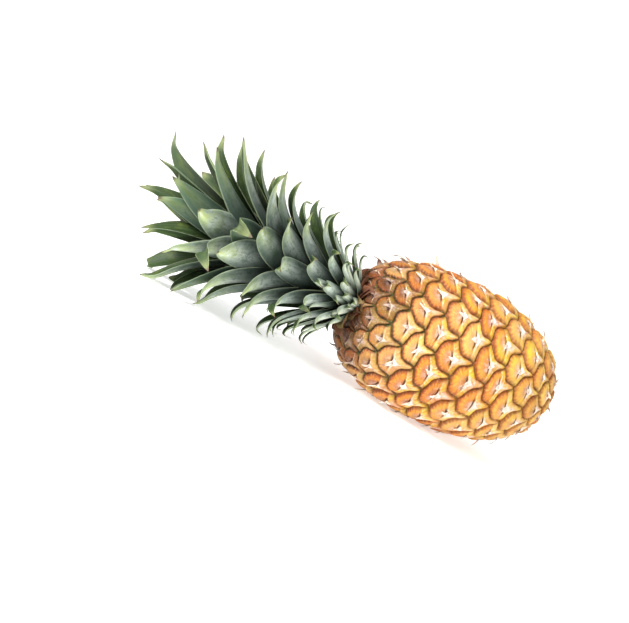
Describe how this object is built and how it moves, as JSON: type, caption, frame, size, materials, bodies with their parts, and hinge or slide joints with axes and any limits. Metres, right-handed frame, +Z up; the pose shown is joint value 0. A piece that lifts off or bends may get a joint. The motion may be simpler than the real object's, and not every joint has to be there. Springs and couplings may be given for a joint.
{
  "type": "pineapple",
  "caption": "Whole ripe pineapple with its leafy crown, lying on its side, with spiralled scale-like eyes round the fruit and a cut stalk at its base.",
  "frame": {"origin": "on the surface the fruit lies on, in the middle of the flat spot under its belly", "axes": "+X from the crown towards the cut stalk, level with the surface; +Z up from the surface; +Y to the left of someone who looks along +X"},
  "size_m": [0.3521, 0.1391, 0.1189],
  "materials": {
    "rind": "satin",
    "leaf": "satin",
    "stalk": "matte"
  },
  "bodies": {
    "root": {"fruit": "rind", "crown": "leaf", "cut_stalk": "stalk"}
  },
  "joints": []
}
